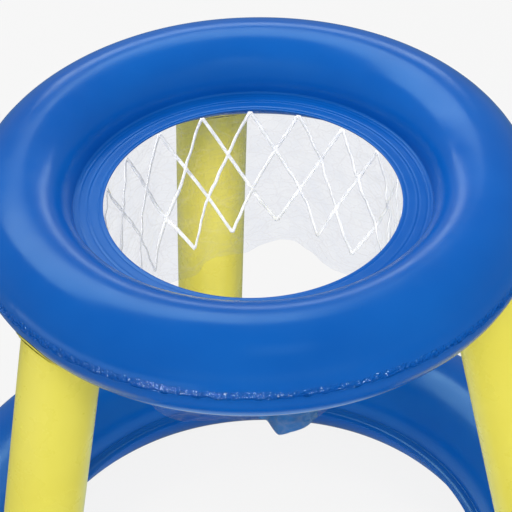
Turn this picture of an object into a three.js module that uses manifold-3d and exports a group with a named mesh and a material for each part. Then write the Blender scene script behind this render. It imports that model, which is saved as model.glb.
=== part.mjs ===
// Poolside basketball hoop, blown up: a hoop ring on three splayed legs that stand on a larger base ring,
// with a net of clear film and white strands below the hoop. Millimetres, +Z up, front towards -Y,
// origin on the floor under the middle of the base ring.
import * as THREE from 'three';
import { mergeVertices } from 'three/addons/utils/BufferGeometryUtils.js';
import Module from 'manifold-3d';

const wasm = await Module();
wasm.setup();

// Films and gaps
const skinWall = 0.5;
const weldGap = 0.3;
const overrun = 10;

// Hoop ring: radius to the middle of its tube, the tube's own radius, and the open hole for the ball
const hoopRadius = 186;
const hoopTube = 42;
const holeRadius = 120;

// Base ring, and how far its underside is pressed flat on the floor
const baseRadius = 274;
const baseTube = 58;
const baseFlange = 9;
const contactDepth = 1;

// Weld lip round the outside of both rings, and the raised weld lines on the hoop's inner flange
const outerLip = 3;
const weldLineWidth = 1.6;
const weldLineHeight = 0.5;
const weldLineShares = [0.46, 0.86];

// Legs, from the middle of the base tube to the middle of the hoop tube
const legCount = 3;
const legTurn = THREE.MathUtils.degToRad(100);
const legRise = 445;
const legRadius = 32;
const legFootSetOut = 10;
const collarWidth = 6;
const airPortRadius = 9;

// Net: a skirt of film with soft folds that grow towards its hem, flat strands on its outside, and a patch
// of tinted film inside its front, placed by columns and rows of the net and ending at the hem
const netDepth = 145;
const netTurn = THREE.MathUtils.degToRad(10);
const netHemRadius = 112;
const filmWall = 0.3;
const netBandWidth = 16;
const foldDepth = 9;
const foldCount = 7;
const foldTurn = THREE.MathUtils.degToRad(76);
const swayDepth = 3;
const swayCount = 2;
const diamondCount = 18;
const diamondHeight = 81;
const strandWidth = 3;
const strandThickness = 0.4;
const patchStartColumn = 52;
const patchColumns = 5;
const patchStartRow = 5;

// Valves: a boot through the skin, a stem that slides in it, a plug cap on a strap and an inner check flap
const valveTurn = THREE.MathUtils.degToRad(45);
const hoopValveTilt = THREE.MathUtils.degToRad(-56);
const baseValveTilt = THREE.MathUtils.degToRad(34);
const stemRadius = 5.5;
const stemBore = 3.6;
const stemDepth = 14;
const runningGap = 0.4;
const bootWall = 1.2;
const bootDepth = 15.6;
const bootRimWidth = 1.4;
const rimThickness = 0.8;
const stemRimWidth = 2;
const stemRimThickness = 1.2;
const patchWidth = 7;
const capThickness = 1.6;
const plugLength = 3.2;
const plugTipShare = 0.88;
const strapReach = 3;
const strapWidth = 4;
const strapThickness = 1.2;
const flapThickness = 0.8;

// Steps round each kind of curve
const ringSteps = 36;
const arcSteps = 8;
const legSteps = 18;
const valveSteps = 16;
const stepsPerDiamond = 4;

// Derived places
const baseHeight = baseTube - contactDepth;
const hoopHeight = baseHeight + legRise;
const legFootRadius = baseRadius + legFootSetOut;
const legLean = Math.atan2(legFootRadius - hoopRadius, legRise);
const legLength = Math.hypot(legFootRadius - hoopRadius, legRise);
const hoop = { radius: hoopRadius, tube: hoopTube, height: hoopHeight, hole: holeRadius };
const baseHole = baseRadius - baseTube - baseFlange;
const base = { radius: baseRadius, tube: baseTube, height: baseHeight, hole: baseHole };
const bootBore = stemRadius + runningGap;
const bootRadius = bootBore + bootWall;
const stemRim = stemRadius + stemRimWidth;
const hingeReach = stemRim + strapReach;

const blueVinyl = { color: 0x1b5cb4, roughness: 0.22, metalness: 0 };
const yellowVinyl = { color: 0xe4dc55, roughness: 0.3, metalness: 0 };
const tintedFilm = { color: 0x4a76b4, roughness: 0.2, metalness: 0, transparent: true, opacity: 0.8 };
const clearFilm = { color: 0xeceef4, roughness: 0.12, metalness: 0, transparent: true, opacity: 0.35 };
const whitePrint = { color: 0xf4f3ec, roughness: 0.4, metalness: 0 };
const milkyVinyl = { color: 0xdfe4e8, roughness: 0.3, metalness: 0, transparent: true, opacity: 0.8 };

const model = new THREE.Group();

// Shapes

function flipped(geometry) {
  const index = geometry.index.array;
  for (let i = 0; i < index.length; i += 3) {
    [index[i], index[i + 1]] = [index[i + 1], index[i]];
  }
  return geometry;
}

function signedVolume(geometry) {
  const [a, b, c] = [new THREE.Vector3(), new THREE.Vector3(), new THREE.Vector3()];
  const index = geometry.index.array;
  let sum = 0;
  for (let i = 0; i < index.length; i += 3) {
    a.fromBufferAttribute(geometry.attributes.position, index[i]);
    b.fromBufferAttribute(geometry.attributes.position, index[i + 1]);
    c.fromBufferAttribute(geometry.attributes.position, index[i + 2]);
    sum += a.dot(b.cross(c)) / 6;
  }
  return sum;
}

// The same shape with shared corners, no folded triangles and its faces out
function closed(geometry) {
  geometry.deleteAttribute('normal');
  geometry.deleteAttribute('uv');
  const merged = mergeVertices(geometry);
  const index = [];
  for (let i = 0; i < merged.index.count; i += 3) {
    const [a, b, c] = merged.index.array.slice(i, i + 3);
    if (a !== b && b !== c && c !== a) {
      index.push(a, b, c);
    }
  }
  merged.setIndex(index);
  return signedVolume(merged) < 0 ? flipped(merged) : merged;
}

// A turned shape from a profile of radius and height, which closes on itself or ends on the axis
function turned(profile, steps) {
  const points = profile.map(([radius, height]) => new THREE.Vector2(radius, height));
  if (points[0].x > 0) {
    points.push(points[0].clone());
  }
  return closed(new THREE.LatheGeometry(points, steps).rotateX(Math.PI / 2));
}

// A rod along Z with its middle at the origin
function rod(radius, length, steps) {
  return closed(new THREE.CylinderGeometry(radius, radius, length, steps).rotateX(Math.PI / 2));
}

function solidOf(geometry) {
  const numProp = 3;
  const vertProperties = geometry.attributes.position.array;
  const triVerts = new Uint32Array(geometry.index.array);
  return new wasm.Manifold(new wasm.Mesh({ numProp, vertProperties, triVerts }));
}

function geometryOf(solid) {
  const mesh = solid.getMesh();
  const geometry = new THREE.BufferGeometry();
  geometry.setAttribute('position', new THREE.BufferAttribute(mesh.vertProperties, 3));
  geometry.setIndex(new THREE.BufferAttribute(mesh.triVerts, 1));
  return geometry;
}

function add(parent, name, geometry, look) {
  const mesh = new THREE.Mesh(geometry, new THREE.MeshStandardMaterial(look));
  mesh.name = name;
  parent.add(mesh);
}

function spread(from, to, steps) {
  return Array.from({ length: steps + 1 }, (_, i) => from + (to - from) * (i / steps));
}

// Rings. Each is two skins that meet at the middle height, welded at an outer lip and an inner flange.

function halfAngles(ring, pressed) {
  const start = Math.asin(skinWall / ring.tube);
  if (pressed === 0) {
    return spread(start, Math.PI - start, arcSteps);
  }
  const flat = Math.acos((ring.tube - pressed) / ring.tube);
  const quarter = Math.PI / 2 - flat;
  const rise = spread(start, quarter, arcSteps / 2);
  return [...rise, ...rise.map((angle) => Math.PI - angle).reverse()];
}

function arcPoints(ring, tube, angles) {
  return angles.map((angle) => [ring.radius + tube * Math.cos(angle), tube * Math.sin(angle)]);
}

// Raised lines pressed by the welding tool, from the tube's side of the flange to the hole
function weldLines(ring, shares) {
  const start = ring.radius - ring.tube;
  const width = start - ring.hole;
  return shares.flatMap((share) => {
    const radius = start - width * share;
    const top = skinWall + weldLineHeight;
    return [
      [radius + weldLineWidth / 2, skinWall],
      [radius + weldLineWidth / 4, top],
      [radius - weldLineWidth / 4, top],
      [radius - weldLineWidth / 2, skinWall],
    ];
  });
}

function skinProfile(ring, side, pressed, lineShares) {
  const angles = halfAngles(ring, pressed);
  const lipRadius = ring.radius + ring.tube + outerLip;
  const innerAngles = [0, ...angles.slice(1, -1), Math.PI].reverse();
  const points = [
    [lipRadius, 0],
    [lipRadius, skinWall],
    ...arcPoints(ring, ring.tube, angles),
    ...weldLines(ring, lineShares),
    [ring.hole, skinWall],
    [ring.hole, 0],
    ...arcPoints(ring, ring.tube - skinWall, innerAngles),
  ];
  return points.map(([radius, height]) => [radius, ring.height + side * height]);
}

// The ring's tube as a solid, grown all round, in the same facets as its skins
function tubeSolid(ring, pressed, grow) {
  const tube = ring.tube + grow;
  const upper = arcPoints(ring, tube, halfAngles(ring, 0));
  const lower = arcPoints(ring, tube, halfAngles(ring, pressed)).reverse();
  const profile = [
    ...upper.map(([radius, height]) => [radius, ring.height + height]),
    ...lower.map(([radius, height]) => [radius, ring.height - height]),
  ];
  return turned(profile, ringSteps);
}

// A skin-thick shell that lies on the ring's tube, seen from a frame turned by the angle
function wrapSolid(ring, pressed, frame) {
  const outer = solidOf(tubeSolid(ring, pressed, weldGap + skinWall).applyMatrix4(frame));
  return outer.subtract(solidOf(tubeSolid(ring, pressed, weldGap).applyMatrix4(frame)));
}

function addRing(name, ring, pressed, lineShares, upperCuts, lowerCuts) {
  const skins = [
    ['upper', turned(skinProfile(ring, 1, 0, lineShares), ringSteps), upperCuts],
    ['lower', turned(skinProfile(ring, -1, pressed, []), ringSteps), lowerCuts],
  ];
  for (const [side, geometry, cuts] of skins) {
    const cut = cuts.reduce((solid, cutter) => solid.subtract(solidOf(cutter)), solidOf(geometry));
    add(model, `${name}_${side}_skin`, geometryOf(cut), blueVinyl);
  }
}

// Legs. Each is worked out in a frame turned to the leg, with the leg in its XZ plane.

function legAngle(index) {
  return legTurn + (2 * Math.PI * index) / legCount;
}

// Puts a rod that stands along Z onto the leg's line, with its foot end in the base tube
function ontoLeg(geometry) {
  geometry.rotateY(-legLean);
  return geometry.translate((hoopRadius + legFootRadius) / 2, 0, (hoopHeight + baseHeight) / 2);
}

function legRod(radius, extra) {
  return solidOf(ontoLeg(rod(radius, legLength + extra, legSteps)));
}

function addLeg(index) {
  const angle = legAngle(index);
  const frame = new THREE.Matrix4().makeRotationZ(-angle);
  const hoopSolid = solidOf(tubeSolid(hoop, 0, weldGap).applyMatrix4(frame));
  const baseSolid = solidOf(tubeSolid(base, contactDepth, weldGap).applyMatrix4(frame));
  const sleeve = legRod(legRadius, 0)
    .subtract(legRod(legRadius - skinWall, overrun))
    .subtract(hoopSolid)
    .subtract(baseSolid);
  const margin = legRod(legRadius + collarWidth, 0).subtract(legRod(legRadius + weldGap, overrun));
  const group = new THREE.Group();
  group.rotation.z = angle;
  add(group, `leg_${index + 1}_sleeve`, geometryOf(sleeve), yellowVinyl);
  const wraps = { top: wrapSolid(hoop, 0, frame), foot: wrapSolid(base, contactDepth, frame) };
  for (const [end, wrap] of Object.entries(wraps)) {
    add(group, `leg_${index + 1}_${end}_collar`, geometryOf(margin.intersect(wrap)), yellowVinyl);
  }
  model.add(group);
}

// A hole in the base ring's upper skin that lets air from the base into the leg
function airPort(index) {
  const port = rod(airPortRadius, baseTube, legSteps);
  port.translate(0, 0, baseTube);
  port.rotateY(-legLean);
  port.translate(legFootRadius, 0, baseHeight);
  return port.rotateZ(legAngle(index));
}

// Net. A place on it is an angle round the hoop, from the net's own start, and a depth below the net's top.

const netBandThickness = filmWall;
const netTop = hoopHeight - skinWall - netBandThickness - weldGap;
const netColumns = diamondCount * stepsPerDiamond;
const angleStep = (2 * Math.PI) / netColumns;
const depthStep = diamondHeight / stepsPerDiamond;
const crossingRows = stepsPerDiamond / 2;
const strandRows = 3 * crossingRows;
const netDepths = [...spread(0, strandRows * depthStep, strandRows), netDepth];

function netPoint([turn, depth], offset) {
  const angle = netTurn + turn;
  const share = depth / netDepth;
  const folds = foldDepth * Math.cos(foldCount * (angle - foldTurn));
  const sway = swayDepth * Math.cos(swayCount * (angle - foldTurn));
  const radius = holeRadius + (netHemRadius - holeRadius + folds + sway) * share + offset;
  return [radius * Math.cos(angle), radius * Math.sin(angle), netTop - depth];
}

// Flat triangles over the net's places. A place met again, also a full turn on, is the same corner.
class NetSheet {
  places = [];
  triangles = [];
  known = new Map();

  corner([angle, depth]) {
    const turn = angle / (2 * Math.PI);
    const key = `${Number((turn - Math.floor(turn)).toFixed(6)) % 1},${depth.toFixed(3)}`;
    if (!this.known.has(key)) {
      this.known.set(key, this.places.push([angle, depth]) - 1);
    }
    return this.known.get(key);
  }

  triangle(...corners) {
    this.triangles.push(corners.map((place) => this.corner(place)));
  }

  quad(a, b, c, d) {
    this.triangle(a, b, c);
    this.triangle(a, c, d);
  }

  // The sheet as a closed skin between two offsets from the net's face
  skin(low, high) {
    const count = this.places.length;
    const faceOf = (offset) => this.places.flatMap((place) => netPoint(place, offset));
    const positions = [...faceOf(low), ...faceOf(high)];
    const index = this.triangles.flatMap(([a, b, c]) => [c, b, a, a + count, b + count, c + count]);
    const edges = new Set(this.triangles.flatMap(([a, b, c]) => [`${a},${b}`, `${b},${c}`, `${c},${a}`]));
    for (const edge of edges) {
      const [a, b] = edge.split(',').map(Number);
      if (!edges.has(`${b},${a}`)) {
        index.push(a, b, b + count, a, b + count, a + count);
      }
    }
    const geometry = new THREE.BufferGeometry();
    geometry.setAttribute('position', new THREE.Float32BufferAttribute(positions, 3));
    geometry.setIndex(index);
    return closed(geometry);
  }
}

// Film from one column and row of the net on. Its quads are split along the strands, so both bend alike.
function filmSheet(startColumn, columns, startRow) {
  const sheet = new NetSheet();
  for (let row = startRow; row < netDepths.length - 1; row += 1) {
    for (let column = startColumn; column < startColumn + columns; column += 1) {
      const [left, right] = [column * angleStep, (column + 1) * angleStep];
      const [a, b] = [[left, netDepths[row]], [right, netDepths[row]]];
      const [c, d] = [[right, netDepths[row + 1]], [left, netDepths[row + 1]]];
      if ((column + 1 + row) % stepsPerDiamond === 0) {
        sheet.quad(b, c, d, a);
      } else {
        sheet.quad(a, b, c, d);
      }
    }
  }
  return sheet;
}

function addFilm() {
  const patchFace = -filmWall - weldGap;
  const patch = filmSheet(patchStartColumn, patchColumns, patchStartRow);
  add(model, 'net_film', filmSheet(0, netColumns, 0).skin(-filmWall, 0), clearFilm);
  add(model, 'net_patch', patch.skin(patchFace - filmWall, patchFace), tintedFilm);
}

// Corners of the small diamond where two strands cross
function crossing(column, row) {
  const slope = (angleStep * (holeRadius + netHemRadius)) / 2 / depthStep;
  const halfTurn = ((strandWidth / 2) * Math.hypot(1, slope)) / holeRadius;
  const halfDrop = ((strandWidth / 2) * Math.hypot(1, slope)) / slope;
  const [angle, depth] = [column * angleStep, row * depthStep];
  return {
    up: [angle, depth - halfDrop],
    right: [angle + halfTurn, depth],
    down: [angle, depth + halfDrop],
    left: [angle - halfTurn, depth],
  };
}

function between(a, b) {
  return [(a[0] + b[0]) / 2, (a[1] + b[1]) / 2];
}

// The stretch of strand from one crossing to the next one below, in two halves that follow the film
function addStretch(sheet, column, row, side) {
  const from = crossing(column, row);
  const to = crossing(column + side * crossingRows, row + crossingRows);
  const [start, end] = side > 0 ? [from.right, to.left] : [from.left, to.right];
  const [outside, inside] = [between(start, to.up), between(from.down, end)];
  for (const [a, b, c, d] of [[start, outside, inside, from.down], [outside, to.up, end, inside]]) {
    if (side > 0) {
      sheet.quad(a, b, c, d);
    } else {
      sheet.quad(d, c, b, a);
    }
  }
}

function addStrands() {
  const sheet = new NetSheet();
  for (let row = 0; row <= strandRows; row += crossingRows) {
    for (let i = 0; i < diamondCount; i += 1) {
      const column = i * stepsPerDiamond + (row % stepsPerDiamond);
      const { up, right, down, left } = crossing(column, row);
      if (row > 0) {
        sheet.triangle(up, right, left);
      }
      if (row < strandRows) {
        sheet.triangle(left, right, down);
        addStretch(sheet, column, row, 1);
        addStretch(sheet, column, row, -1);
      }
    }
  }
  add(model, 'net_strands', sheet.skin(weldGap, weldGap + strandThickness), whitePrint);
}

// The film's flat margin, welded under the hoop's inner flange
function addNetBand() {
  const top = hoopHeight - skinWall;
  const profile = [
    [holeRadius, top],
    [holeRadius + netBandWidth, top],
    [holeRadius + netBandWidth, top - netBandThickness],
    [holeRadius, top - netBandThickness],
  ];
  add(model, 'net_band', turned(profile, ringSteps), clearFilm);
}

// Valves. Each is built in its own frame: the origin on the skin, +Z out of the ring, the strap towards -X.

const rimBase = skinWall + 2 * weldGap;
const stemProud = rimBase + rimThickness + weldGap;
const stemTop = stemProud + stemRimThickness;
const capBase = stemTop + weldGap;

function valveFrame(ring, tilt) {
  const flatness = ring.tube * (1 - Math.cos(Math.PI / arcSteps / 2));
  const reach = ring.tube - flatness;
  const out = new THREE.Vector3(Math.cos(tilt) * Math.cos(valveTurn), Math.cos(tilt) * Math.sin(valveTurn));
  out.z = Math.sin(tilt);
  const along = new THREE.Vector3(-Math.sin(valveTurn), Math.cos(valveTurn), 0);
  const basis = new THREE.Matrix4().makeBasis(along, out.clone().cross(along), out);
  const group = new THREE.Group();
  group.quaternion.setFromRotationMatrix(basis);
  group.position.set(ring.radius * Math.cos(valveTurn), ring.radius * Math.sin(valveTurn), ring.height);
  group.position.addScaledVector(out, reach);
  group.updateMatrix();
  return group;
}

function valveHole(frame) {
  return rod(bootRadius + weldGap, 2 * overrun, valveSteps).applyMatrix4(frame.matrix);
}

function boot() {
  const rim = bootRadius + bootRimWidth;
  return turned([
    [bootBore, -bootDepth],
    [bootRadius, -bootDepth],
    [bootRadius, rimBase],
    [rim, rimBase],
    [rim, rimBase + rimThickness],
    [bootBore, rimBase + rimThickness],
  ], valveSteps);
}

// The strip that runs from a round piece of the given radius out to the strap's hinge
function strapEnd(radius, low, thickness) {
  const length = hingeReach - radius + stemRimWidth / 2;
  const strip = closed(new THREE.BoxGeometry(length, strapWidth, thickness));
  return solidOf(strip.translate(length / 2 - hingeReach, 0, low + thickness / 2));
}

function stem() {
  const tube = turned([
    [stemBore, -stemDepth],
    [stemRadius, -stemDepth],
    [stemRadius, stemProud],
    [stemRim, stemProud],
    [stemRim, stemTop],
    [stemBore, stemTop],
  ], valveSteps);
  return geometryOf(solidOf(tube).add(strapEnd(stemRim, stemProud, stemRimThickness)));
}

function cap() {
  const plug = stemBore - weldGap;
  const disc = turned([
    [0, capBase - plugLength],
    [plug * plugTipShare, capBase - plugLength],
    [plug, capBase],
    [stemRim, capBase],
    [stemRim, capBase + capThickness],
    [0, capBase + capThickness],
  ], valveSteps);
  return geometryOf(solidOf(disc).add(strapEnd(stemRim, capBase, strapThickness)));
}

function checkFlap() {
  const radius = (stemBore + stemRadius) / 2;
  return rod(radius, flapThickness, valveSteps).translate(0, 0, -stemDepth - weldGap - flapThickness / 2);
}

function addValve(name, ring, pressed, frame) {
  const wrap = wrapSolid(ring, pressed, frame.matrix.clone().invert());
  const outside = solidOf(rod(bootRadius + patchWidth, 2 * overrun, valveSteps));
  const hole = solidOf(rod(bootRadius + weldGap, 3 * overrun, valveSteps));
  const patch = outside.subtract(hole).intersect(wrap);
  add(frame, `${name}_valve_patch`, geometryOf(patch), milkyVinyl);
  add(frame, `${name}_valve_boot`, boot(), milkyVinyl);
  add(frame, `${name}_valve_stem`, stem(), milkyVinyl);
  add(frame, `${name}_valve_cap`, cap(), milkyVinyl);
  add(frame, `${name}_valve_flap`, checkFlap(), milkyVinyl);
  model.add(frame);
}

const legs = Array.from({ length: legCount }, (_, index) => index);
const hoopValve = valveFrame(hoop, hoopValveTilt);
const baseValve = valveFrame(base, baseValveTilt);
addRing('hoop', hoop, 0, weldLineShares, [], [valveHole(hoopValve)]);
addRing('base', base, contactDepth, [], [valveHole(baseValve), ...legs.map(airPort)], []);
legs.forEach(addLeg);
addFilm();
addStrands();
addNetBand();
addValve('hoop', hoop, 0, hoopValve);
addValve('base', base, contactDepth, baseValve);

export default model;
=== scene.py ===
"""A blown-up pool basketball hoop: glossy vinyl rings and legs, and a net of lightly crumpled clear film."""
import math

import bpy
import numpy as np
from mathutils import Matrix, Quaternion, Vector

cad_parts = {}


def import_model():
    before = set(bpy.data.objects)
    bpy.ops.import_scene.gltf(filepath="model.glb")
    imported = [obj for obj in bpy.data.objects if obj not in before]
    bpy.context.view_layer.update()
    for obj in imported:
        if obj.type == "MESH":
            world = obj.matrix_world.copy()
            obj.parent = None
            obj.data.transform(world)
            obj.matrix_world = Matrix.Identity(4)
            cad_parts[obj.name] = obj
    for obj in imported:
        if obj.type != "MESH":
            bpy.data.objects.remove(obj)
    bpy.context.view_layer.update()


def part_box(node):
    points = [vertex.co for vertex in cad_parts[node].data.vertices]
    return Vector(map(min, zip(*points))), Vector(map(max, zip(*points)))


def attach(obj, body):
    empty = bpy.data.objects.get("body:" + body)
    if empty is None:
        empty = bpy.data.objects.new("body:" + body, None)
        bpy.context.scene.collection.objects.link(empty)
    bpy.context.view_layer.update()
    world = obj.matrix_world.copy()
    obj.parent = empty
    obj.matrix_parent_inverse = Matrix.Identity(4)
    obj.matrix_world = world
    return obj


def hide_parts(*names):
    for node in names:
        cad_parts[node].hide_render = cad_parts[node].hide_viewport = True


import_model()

MM = 0.001
FULL_TURN = 2 * math.pi

# Films and valves, mostly as the frame has them
SKIN_WALL = 0.5 * MM
FILM_WALL = 0.3 * MM
OUTER_LIP = 3 * MM
HOLE_RADIUS = 120 * MM
BASE_FLANGE = 9 * MM
CONTACT_DEPTH = 1 * MM

VALVE_TURN = math.radians(45)
VALVE_TILTS = {"hoop": math.radians(-56), "base": math.radians(34)}
VALVE_ARC_STEPS = 8
STEM_RADIUS = 5.5 * MM
STEM_BORE = 3.6 * MM
STEM_DEPTH = 14 * MM
BOOT_BORE = 5.9 * MM
BOOT_RADIUS = 7.1 * MM
BOOT_DEPTH = 15.6 * MM
BOOT_RIM = 8.5 * MM
VALVE_HOLE = BOOT_RADIUS + 0.3 * MM
RIM_BASE = 1.1 * MM
RIM_TOP = 1.9 * MM
STEM_RIM = 7.5 * MM
STEM_PROUD = 2.2 * MM
STEM_TOP = 3.4 * MM
CAP_BASE = 3.7 * MM
CAP_THICKNESS = 1.6 * MM
CAP_DISH = 4.6 * MM
CAP_CENTRE = 1.2 * MM
PLUG_LENGTH = 3.2 * MM
PLUG_RISES = (0.5 * MM, 1 * MM, 1.4 * MM)
HINGE_REACH = 10.5 * MM
STRAP_WIDTH = 4 * MM
STRAP_THICKNESS = 1.2 * MM
HINGE_RADIUS = STRAP_THICKNESS + 0.1 * MM
HINGE_EDGE = 0.4 * MM
PATCH_RADIUS = 14.1 * MM
FLAP_RADIUS = 4.55 * MM
FLAP_THICKNESS = 0.8 * MM
MOULD_EDGE = 0.3 * MM
MOULD_CREASE = math.radians(50)

# The rings' weld lips and inner fillets as they show, each fillet with the turns of its rows in degrees
LIPS = {"hoop": 1.8 * MM, "base": 3 * MM}
FILLETS = {"hoop": (1.2 * MM, (70, 45, 20)), "base": (5 * MM, (84, 74, 64, 54, 44, 34, 24, 14, 6))}

# Legs
LEG_ANGLES = [math.radians(100 + 120 * i) for i in range(3)]
LEG_RADIUS = 32 * MM
LEG_FOOT_SET_OUT = 10 * MM
COLLAR_WIDTH = 3.4 * MM

# Net
NET_DEPTH = 145 * MM
NET_TURN = math.radians(10)
NET_HEM_RADIUS = 112 * MM
FOLD_DEPTH = 9 * MM
FOLD_COUNT = 7
FOLD_TURN = math.radians(76)
SWAY_DEPTH = 3 * MM
SWAY_COUNT = 2
CRUMPLE_COUNT = 16
CRUMPLE_ROUND = (5, 46)
CRUMPLE_DOWN = 300
CRUMPLE_DEPTH = 0.75 * MM
CRUMPLE_FADE = 14 * MM
HEM_WANDER = 0.006
# Each with a middle and a reach to either side in degrees, and a size: pleats' depths, and shares of sag
PLEATS = [(273, 16, 4.5, -13 * MM), (306, 14, 16, 7 * MM), (122, 15, 13, -18 * MM), (146, 14, 14, 4 * MM)]
SAGS = [(137, 26, 17, 0.13)]
DIAMOND_COUNT = 18
DIAMOND_HEIGHT = 81 * MM
STRAND_WIDTH = 3 * MM
STRAND_THICKNESS = 0.3 * MM
PRINT_GAP = 0.06 * MM
NET_GAP = 0.3 * MM
NET_BAND_WIDTH = 16 * MM
NET_BAND_INSET = 0.2 * MM
WELD_GAP = 0.02 * MM
# Where the sheet of painted shade hangs inside the net: its span round the hoop in degrees and its top's
# depth
SHADE_SHEET_SPAN = (270, 295)
SHADE_SHEET_TOP = 101.25 * MM


class Ring:
    """A ring's tube, from the boxes of its two skins in the frame."""

    def __init__(self, name, hole=None):
        low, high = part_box(f"{name}_upper_skin")
        self.name = name
        self.height = low.z
        self.tube = high.z - low.z
        self.radius = high.x - OUTER_LIP - self.tube
        self.lip = LIPS[name]
        self.fillet, self.fillet_turns = FILLETS[name]
        self.hole = hole or self.radius - self.tube - BASE_FLANGE


HOOP = Ring("hoop", HOLE_RADIUS)
BASE = Ring("base")


# Meshes

def grid_quads(columns, rows, wrap_columns=True, wrap_rows=False):
    """Quads over a grid of columns by rows of points, numbered column by column."""
    c = np.arange(columns if wrap_columns else columns - 1)
    r = np.arange(rows if wrap_rows else rows - 1)
    c, r = np.meshgrid(c, r, indexing="ij")
    c_next, r_next = (c + 1) % columns, (r + 1) % rows
    corners = [c * rows + r, c_next * rows + r, c_next * rows + r_next, c * rows + r_next]
    return np.stack(corners, -1).reshape(-1, 4)


def closed_grid(points):
    """Points and quads of a skin laid as a grid, (columns, rows, 3), that closes on itself both ways."""
    return points.reshape(-1, 3), [grid_quads(*points.shape[:2], True, True)]


def film_grid(outside, inside):
    """A film's two faces, (columns, rows, 3) each, as one grid that runs out on one and back on the other."""
    return np.concatenate([outside, inside[:, ::-1]], 1)


def round_angles(columns):
    return np.linspace(0, FULL_TURN, columns, endpoint=False)


def on_circles(angle, radius, height):
    """Points at angles, radii and heights about the Z axis."""
    return np.stack(np.broadcast_arrays(radius * np.cos(angle), radius * np.sin(angle), height), -1)


def lathe(profile, columns=96):
    """Points and faces of a closed profile of radius and height turned about Z."""
    return closed_grid(on_circles(round_angles(columns)[:, None], *np.array(profile).T))


def make_object(name, points, faces, material, smooth_angle=None):
    """An object from points, (n, 3), and a list of arrays of faces, which are turned outwards."""
    mesh = bpy.data.meshes.new(name)
    loops = np.concatenate([part.ravel() for part in faces])
    sizes = np.concatenate([np.full(len(part), part.shape[1]) for part in faces])
    starts = np.concatenate([[0], np.cumsum(sizes)[:-1]])
    mesh.vertices.add(len(points))
    mesh.vertices.foreach_set("co", np.asarray(points, np.float32).ravel())
    mesh.loops.add(len(loops))
    mesh.loops.foreach_set("vertex_index", loops.astype(np.int32))
    mesh.polygons.add(len(sizes))
    mesh.polygons.foreach_set("loop_start", starts.astype(np.int32))
    mesh.update(calc_edges=True)
    mesh.validate()
    mesh.polygons.foreach_set("use_smooth", np.ones(len(mesh.polygons), bool))
    if volume(points, faces) < 0:
        mesh.flip_normals()
    if smooth_angle:
        mesh.set_sharp_from_angle(angle=smooth_angle)
    mesh.materials.append(material)
    obj = bpy.data.objects.new(name, mesh)
    bpy.context.scene.collection.objects.link(obj)
    return obj


def volume(points, faces):
    """Six times the volume inside a closed shape, negative when its faces point in."""
    total = 0
    for part in faces:
        first = points[part[:, 0]]
        for i in range(1, part.shape[1] - 1):
            total += np.einsum("ij,ij->", first, np.cross(points[part[:, i]], points[part[:, i + 1]]))
    return total


def place(obj, body, slot_name, *nodes):
    """obj rides on the body and stands for the nodes. The slot name is not used."""
    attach(obj, body)
    if nodes:
        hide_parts(*nodes)
    return obj


# Smooth random curves and creases that close on themselves round a circle

def waves(angle, counts, rng):
    """A random curve of whole numbers of waves, mostly between -1 and 1."""
    total = np.zeros_like(angle)
    for count in counts:
        total = total + rng.normal() * np.sin(count * angle + rng.uniform(0, FULL_TURN))
    return total / math.sqrt(len(counts))


def gathers(angle, count, wander, rng):
    """Rounded ridges with sharp valleys between, 1 on a ridge and 0 in a valley, unevenly spaced."""
    drift = wander * waves(angle, range(3, 17), rng)
    ridge = np.abs(np.sin(count * angle / 2 + drift)) ** 0.7
    strength = np.clip(0.62 + 0.45 * waves(angle, range(5, 41), rng), 0.08, 1.3)
    return ridge * strength


def closer_at_ends(count, strength):
    """Shares from 0 to 1 that lie closer together towards both ends."""
    even = np.linspace(0, 1, count)
    return strength * (0.5 - 0.5 * np.cos(math.pi * even)) + (1 - strength) * even


def triangle_wave(phase):
    """Straight up and down between -1 and 1, which leaves a crease at each turn."""
    return 2 * np.abs(2 * (phase / FULL_TURN - np.floor(phase / FULL_TURN + 0.5))) - 1


# Materials

NOISE_SPAN = (0.3, 0.7)


def new_material(name):
    material = bpy.data.materials.new(name)
    material.use_nodes = True
    tree = material.node_tree
    return material, tree, tree.nodes["Principled BSDF"]


def fill(tree, node, values):
    """Gives a node's inputs their values: plain numbers and colours, or what another node puts out."""
    for name, value in values.items():
        if isinstance(value, bpy.types.NodeSocket):
            tree.links.new(value, node.inputs[name])
        else:
            node.inputs[name].default_value = value


def add_node(tree, kind, values, **settings):
    node = tree.nodes.new("ShaderNode" + kind)
    for name, setting in settings.items():
        setattr(node, name, setting)
    fill(tree, node, values)
    return node


def noise(tree, scale, detail=2.0, roughness=0.5):
    spot = add_node(tree, "TexCoord", {}).outputs["Object"]
    values = {"Vector": spot, "Scale": scale, "Detail": detail, "Roughness": roughness}
    return add_node(tree, "TexNoise", values)


def ranged(tree, value, ends, source=(0, 1)):
    """A value carried over from its source range to another, and kept within it."""
    limits = zip(("From Min", "From Max", "To Min", "To Max"), (*source, *ends))
    return add_node(tree, "MapRange", {"Value": value, **dict(limits)}).outputs["Result"]


def spread_of(tree, texture, low, high):
    """The texture's value, spread over low to high."""
    return ranged(tree, texture.outputs["Fac"], (low, high), NOISE_SPAN)


def blended(tree, share, first, second):
    """Two colours, mixed by the second's share."""
    values = {"Factor": share, "A": first, "B": second}
    return add_node(tree, "Mix", values, data_type="RGBA").outputs["Result"]


def two_colours(tree, texture, first, second):
    return blended(tree, spread_of(tree, texture, 0, 1), (*first, 1), (*second, 1))


def mixed(tree, share, first, second):
    """Two shaders, mixed by the second's share."""
    return add_node(tree, "MixShader", {"Fac": share, 1: first, 2: second}).outputs["Shader"]


def combined(tree, operation, first, second):
    """Two values put together, where the second may be a plain number."""
    return add_node(tree, "Math", {0: first, 1: second}, operation=operation).outputs["Value"]


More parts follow.
